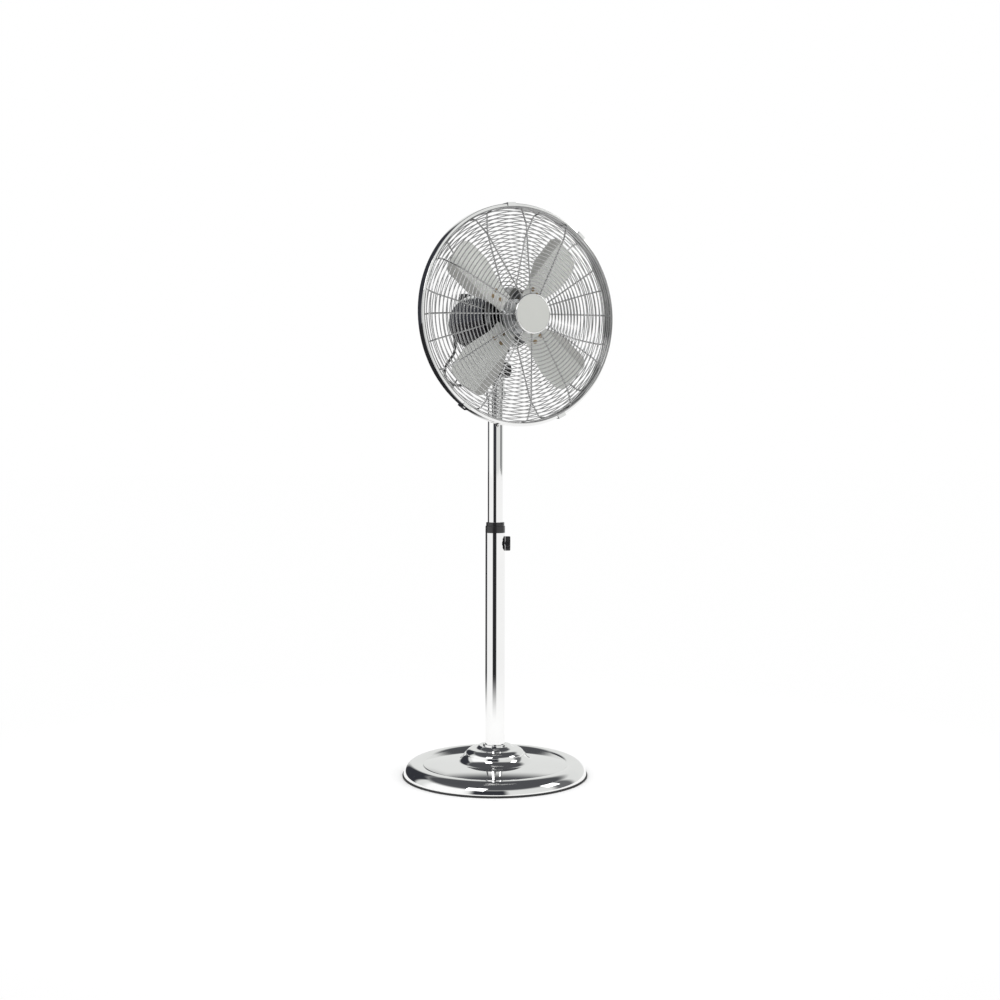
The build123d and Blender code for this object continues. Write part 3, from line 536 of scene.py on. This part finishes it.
def wire_mesh(lines, radius, closed=False, sides=8):
    """Round wires along lists of points in the row frame, joined into one mesh."""
    curve = bpy.data.curves.new("wire", "CURVE")
    curve.dimensions = "3D"
    curve.bevel_depth = radius
    curve.bevel_resolution = sides // 4
    curve.use_fill_caps = not closed
    for points in lines:
        spline = curve.splines.new("POLY")
        spline.points.add(len(points) - 1)
        for spot, p in zip(spline.points, points):
            spot.co = (*p, 1)
        spline.use_cyclic_u = closed
    holder = bpy.data.objects.new("wire", curve)
    mesh = bpy.data.meshes.new_from_object(holder)
    bpy.data.objects.remove(holder)
    return mesh


def around_axis(mesh, count, start, material):
    """Copies of a mesh spread evenly round the Y axis by Geometry Nodes, as one plain mesh."""
    tree = bpy.data.node_groups.new("spread", "GeometryNodeTree")
    tree.interface.new_socket("Geometry", in_out="INPUT", socket_type="NodeSocketGeometry")
    tree.interface.new_socket("Geometry", in_out="OUTPUT", socket_type="NodeSocketGeometry")
    sockets = {}
    kinds = {"Count": "NodeSocketInt", "Start": "NodeSocketFloat", "Material": "NodeSocketMaterial"}
    for label, kind in kinds.items():
        sockets[label] = tree.interface.new_socket(label, in_out="INPUT", socket_type=kind).identifier
    nodes = Shader(tree)
    given = nodes.add("NodeGroupInput")
    spots = nodes.add("GeometryNodePoints", {"Count": given.outputs["Count"]})
    index = nodes.add("GeometryNodeInputIndex")
    share = nodes.add("ShaderNodeMath", {0: index.outputs[0], 1: given.outputs["Count"]}, operation="DIVIDE")
    terms = {0: share.outputs[0], 1: 2 * pi, 2: given.outputs["Start"]}
    angle = nodes.add("ShaderNodeMath", terms, operation="MULTIPLY_ADD")
    spin = nodes.add("ShaderNodeCombineXYZ", {"Y": angle.outputs[0]})
    copies = nodes.add("GeometryNodeInstanceOnPoints", {
        "Points": spots.outputs[0], "Instance": given.outputs["Geometry"], "Rotation": spin.outputs[0],
    })
    real = nodes.add("GeometryNodeRealizeInstances", {"Geometry": copies.outputs[0]})
    finish = {"Geometry": real.outputs[0], "Material": given.outputs["Material"]}
    painted = nodes.add("GeometryNodeSetMaterial", finish)
    nodes.add("NodeGroupOutput", {"Geometry": painted.outputs[0]})
    holder = bpy.data.objects.new("spread", mesh)
    bpy.context.scene.collection.objects.link(holder)
    step = holder.modifiers.new("spread", "NODES")
    step.node_group = tree
    step[sockets["Count"]] = count
    step[sockets["Start"]] = start
    step[sockets["Material"]] = material
    done = bpy.data.meshes.new_from_object(holder.evaluated_get(bpy.context.evaluated_depsgraph_get()))
    bpy.data.objects.remove(holder)
    return done


def joined(meshes, material, lift=0.0):
    """One mesh out of several, raised by lift."""
    work = bmesh.new()
    for mesh in meshes:
        work.from_mesh(mesh)
    bmesh.ops.translate(work, verts=work.verts, vec=(0, 0, lift))
    for face in work.faces:
        face.material_index = 0
    whole = bpy.data.meshes.new("joined")
    work.to_mesh(whole)
    work.free()
    whole.materials.append(material)
    return whole


def circle(radius, station, steps=160):
    """Points round the Y axis."""
    angles = [2 * pi * i / steps for i in range(steps)]
    return [(radius * cos(a), station, radius * sin(a)) for a in angles]


def spoke_line(hub, shoulder, turn_station, rim_station):
    """The centre line of one spoke, from the hub over the shoulder to the rim wire."""
    spots = [(*hub, 0), (*shoulder, 0), (spoke_end, turn_station, 0), (spoke_end, rim_station, 0)]
    return filleted(spots, (0.046, 0.010))


def ring_lines(line, first, side):
    """Circles at an even pitch along a spoke, on its outer side."""
    reach = (spoke_wire + ring_wire + weld_gap) * side
    total = sum((b - a).length for a, b in zip(line, line[1:]))
    circles, gone, wanted = [], 0.0, first
    for a, b in zip(line, line[1:]):
        run = (b - a).length
        while wanted <= gone + run and wanted < total - last_ring:
            way = (b - a) / run
            at = a + way * (wanted - gone) + Vector((way.y, -way.x, 0)) * reach
            circles.append(circle(at.x, at.y))
            wanted += ring_pitch
        gone += run
    return circles


def grille(name, node, line, start, first, side, rim_station, plate):
    """One half of the guard: spokes, rings, rim wire and the plate in its middle."""
    spoke = wire_mesh([line], spoke_wire)
    wires = around_axis(spoke, spoke_count, -start, wire_chrome)
    rings = wire_mesh(ring_lines(line, first, side), ring_wire, True)
    rim = wire_mesh([circle(wire_centre, rim_station, 256)], rim_wire, True, 16)
    whole = joined([wires, rings, rim, plate], wire_chrome, head_height)
    return finish_mesh(whole, name, "head", wire_chrome, (node,), 50)


def plate_outline(inside, outside, front, thick):
    """A flat ring's section."""
    return [(inside, front), (outside, front), (outside, front + thick), (inside, front + thick)]


rim_gap = 0.0004
front_rim = rim_plane - rim_wire - rim_gap
back_rim = rim_plane + rim_wire + rim_gap
hub_radius = 0.0395
front_hub = (0.030, -0.1405)
front_shoulder = (0.174, -0.131)
front_turn = -0.113
back_hub = (0.048, -0.057)
back_shoulder = (0.172, -0.054)
back_turn = -0.072
front_spoke = spoke_line(front_hub, front_shoulder, front_turn, front_rim + 0.003)
back_spoke = spoke_line(back_hub, back_shoulder, back_turn, back_rim - 0.003)
anchor_front = front_hub[1] + 0.0005 + spoke_wire
anchor = plate_outline(0.012, hub_radius - 0.002, anchor_front, 0.0015)
mount_thick = 0.002
mount_front = back_hub[1] - spoke_wire - weld_gap - mount_thick
mount = plate_outline(0.0134, 0.060, mount_front, mount_thick)
anchor_mesh = turned(anchor, "Y", 96)
mount_mesh = turned(mount, "Y", 96)
grille("front_guard", "front_grille", front_spoke, radians(2), 0.018, 1, front_rim, anchor_mesh)
grille("back_guard", "back_grille", back_spoke, radians(17), 0.016, -1, back_rim, mount_mesh)

band_front = rim_plane - band_half
band_back = rim_plane + band_half
inner = guard_radius - band_wall
lip = inner - 0.005
corner = 0.0012
band_line = (
    [(lip, band_front)]
    + arc((guard_radius - corner, band_front), (guard_radius, band_front + corner), -0.00035, 5)
    + arc((guard_radius, band_back - corner), (guard_radius - corner, band_back), -0.00035, 5)
    + [(lip, band_back), (lip, band_back - band_wall), (inner, band_back - band_wall)]
    + [(inner, band_front + band_wall), (lip, band_front + band_wall)]
)
band_mesh = turned(band_line, "Y", 288, head_height)
finish_mesh(band_mesh, "band", "head", chrome, ("rim_band",), 40)
refined("grille_nut", "head", black)
refined("rim_clips", "head", chrome)

# ---- Hub cap ----------------------------------------------------------------
# A chromed pressing with a rounded edge over the front grille's plate, and a plain satin
# disc set into its face.
badge_satin = surface("badge_satin", (0.60, 0.605, 0.58), 0.8, 0.40, vary=0.12, bump=0.15, scale=1500.0)

hub_face = -0.149
hub_back = hub_face + 0.0075
hub_wall = 0.0012
hub_rim = 0.0025
hub_round = 0.0022
floor_front = hub_face + 0.0010
floor_back = hub_face + 0.0036
cap_line = (
    [(hub_radius - hub_rim, hub_face)]
    + arc((hub_radius - hub_round, hub_face), (hub_radius, hub_face + hub_round), -0.00065, 8)
    + [(hub_radius, hub_back), (hub_radius - hub_wall, hub_back), (hub_radius - hub_wall, floor_back)]
    + [(0.001, floor_back), (0.001, floor_front), (hub_radius - hub_rim, floor_front)]
)
cap_mesh = turned(cap_line, "Y", 160, head_height)
finish_mesh(cap_mesh, "cap", "head", chrome, ("hub_cap",), 40)
disc_radius = hub_radius - hub_rim - 0.00015
disc_back = floor_front - 0.00002
disc_line = [(0.0002, hub_face + 0.00005), (disc_radius - 0.0004, hub_face + 0.00006)]
disc_line += [(disc_radius, hub_face + 0.0004), (disc_radius, disc_back), (0.0002, disc_back)]
disc_mesh = turned(disc_line, "Y", 160, head_height)
finish_mesh(disc_mesh, "disc", "head", badge_satin, ("hub_disc",), 15)

# ---- Blades -----------------------------------------------------------------
# Four pressed sheet paddles, cambered along the chord, with the front edge bent back
# as a stiffer strip, riveted to the arms of the hub.
satin = surface("satin_silver", (0.66, 0.67, 0.645), 0.55, 0.42, vary=0.12, bump=0.15, scale=1500.0)
# A darker copy of the blade satin for the bent strip: painted shade, for the strip that turns away from the
# light.
satin_painted_shade = surface("satin_painted_shade", (0.40, 0.40, 0.385), 0.7, 0.40, vary=0.12, bump=0.15, scale=1500.0)

blade_plane = -0.082
blade_tip = 0.184
blade_root = 0.034
blade_chord = 0.088
root_chord = 0.046
blade_pitch = radians(16)
sheet = 0.0012
camber = 0.220
bend_width = 0.018
bend_angle = radians(32)
tip_corner = 0.024
blade_count = 4
first_angle = radians(50)


def half_width(r, side):
    """The blade's half chord at a radius, narrow at the root and round at the tip."""
    start = 0.050
    end = 0.120 if side < 0 else 0.124
    t = min(1.0, max(0.0, (r - start) / (end - start)))
    smooth = t * t * (3 - 2 * t)
    t = smooth * 0.55 + t * 0.45
    width = (root_chord + (blade_chord - root_chord) * t) / 2
    over = r - (blade_tip - tip_corner)
    if over > 0:
        rounding = sqrt(max(0.0, tip_corner ** 2 - over ** 2))
        width = min(width, blade_chord / 2 - tip_corner + rounding)
    return width


def camber_height(v):
    """Height of the sheet above the chord plane, with the strip along the front edge bent back."""
    start = -blade_chord / 2 + bend_width
    if v >= start:
        return sqrt(camber ** 2 - v * v) - camber
    slope = asin(-start / camber) - bend_angle
    return sqrt(camber ** 2 - start ** 2) - camber - (start - v) * sin(slope) / cos(slope)


bend_start = bend_width - blade_chord / 2
bend_edge = bend_start - bend_width * cos(asin(-bend_start / camber) - bend_angle)


def crease_depth(r, v):
    """A shallow groove pressed along the blade, fading in past the arm."""
    across = max(0.0, 1 - abs(v - 0.006) / 0.004)
    along = min(1.0, max(0.0, (r - 0.07) / 0.02))
    return 0.00035 * across * along


def blade_mesh(index):
    """One blade as a sheet of even thickness, with its bent strip in a darker copy of the satin: painted
    shade.
    """
    angle = first_angle + 2 * pi * index / blade_count
    out = Vector((cos(angle), 0, sin(angle)))
    forward = Vector((sin(angle), 0, -cos(angle)))
    chord = forward * cos(blade_pitch) + Vector((0, 1, 0)) * sin(blade_pitch)
    normal = out.cross(chord)
    origin = Vector((0, blade_plane, head_height))
    work = bmesh.new()
    rows, stations = 56, 30
    grid = []
    for i in range(rows + 1):
        t = i / rows
        r = blade_root + (blade_tip - blade_root) * (1 - (1 - t) ** 1.6)
        low, high = max(-half_width(r, -1), bend_edge), half_width(r, 1)
        line = []
        for j in range(stations + 1):
            v = low + (high - low) * j / stations
            reach = min(r, sqrt(max(0.0, blade_tip ** 2 - v * v)))
            lift = camber_height(v) - crease_depth(r, v)
            line.append(work.verts.new(origin + out * reach + chord * v + normal * lift))
        grid.append(line)
    for a, b in zip(grid, grid[1:]):
        for j in range(stations):
            face = work.faces.new((a[j], a[j + 1], b[j + 1], b[j]))
            # Faces of the bent strip take the darker satin, which is painted shade.
            face.material_index = 1 if (a[j].co - origin).dot(chord) < bend_start - 0.0005 else 0
    bmesh.ops.remove_doubles(work, verts=work.verts, dist=1e-7)
    mesh = bpy.data.meshes.new("blade")
    work.to_mesh(mesh)
    work.free()
    mesh.materials.append(satin)
    mesh.materials.append(satin_painted_shade)
    holder = bpy.data.objects.new("blade", mesh)
    bpy.context.scene.collection.objects.link(holder)
    thick = holder.modifiers.new("sheet", "SOLIDIFY")
    thick.thickness = sheet
    thick.offset = 1.0
    done = bpy.data.meshes.new_from_object(holder.evaluated_get(bpy.context.evaluated_depsgraph_get()))
    bpy.data.objects.remove(holder)
    return done


for index in range(blade_count):
    name = "blade_%d" % (index + 1)
    finish_mesh(blade_mesh(index), name + "_sheet", "rotor", satin, (name,), 18)
refined("rotor_hub", "rotor", zinc)
refined("blade_rivets", "rotor", bronze)
refined("rotor_nut", "rotor", zinc)

# ---- Motor lead -------------------------------------------------------------
# A black lead of 5.6 mm leaves the rubber gland under the shell's back, hangs in a loop and
# goes into the neck, so that the head can swing.
sheath = surface("cord_sheath", (0.014, 0.014, 0.015), 0.0, 0.5, vary=0.2, bump=0.2, scale=1200.0)

lead_radius = 0.0028
lead_points = [
    (-0.034, 0.112, 0.8927), (-0.034, 0.112, 0.8807), (-0.039, 0.122, 0.866), (-0.044, 0.134, 0.853),
    (-0.044, 0.143, 0.837), (-0.038, 0.144, 0.822), (-0.029, 0.134, 0.812), (-0.019, 0.117, 0.809),
    (-0.011, 0.099, 0.814), (-0.006, 0.083, 0.824), (-0.003, 0.069, 0.838), (-0.001, 0.055, 0.852),
    (0.0, 0.040, 0.864), (0.0, 0.024, 0.864),
]
route = bpy.data.curves.new("route", "CURVE")
route.dimensions = "3D"
strand = route.splines.new("NURBS")
strand.points.add(len(lead_points) - 1)
for spot, p in zip(strand.points, lead_points):
    spot.co = (*p, 1)
strand.order_u = 3
strand.use_endpoint_u = True
strand.resolution_u = 10
route_holder = bpy.data.objects.new("route", route)
route_mesh = bpy.data.meshes.new_from_object(route_holder)
lead_path = [v.co.copy() for v in route_mesh.vertices]
bpy.data.objects.remove(route_holder)
lead_mesh = wire_mesh([lead_path], lead_radius, False, 16)
lead = finish_mesh(lead_mesh, "lead", None, sheath, ("motor_lead",), 60)
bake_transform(lead)
refined("lead_gland", "head", rubber)
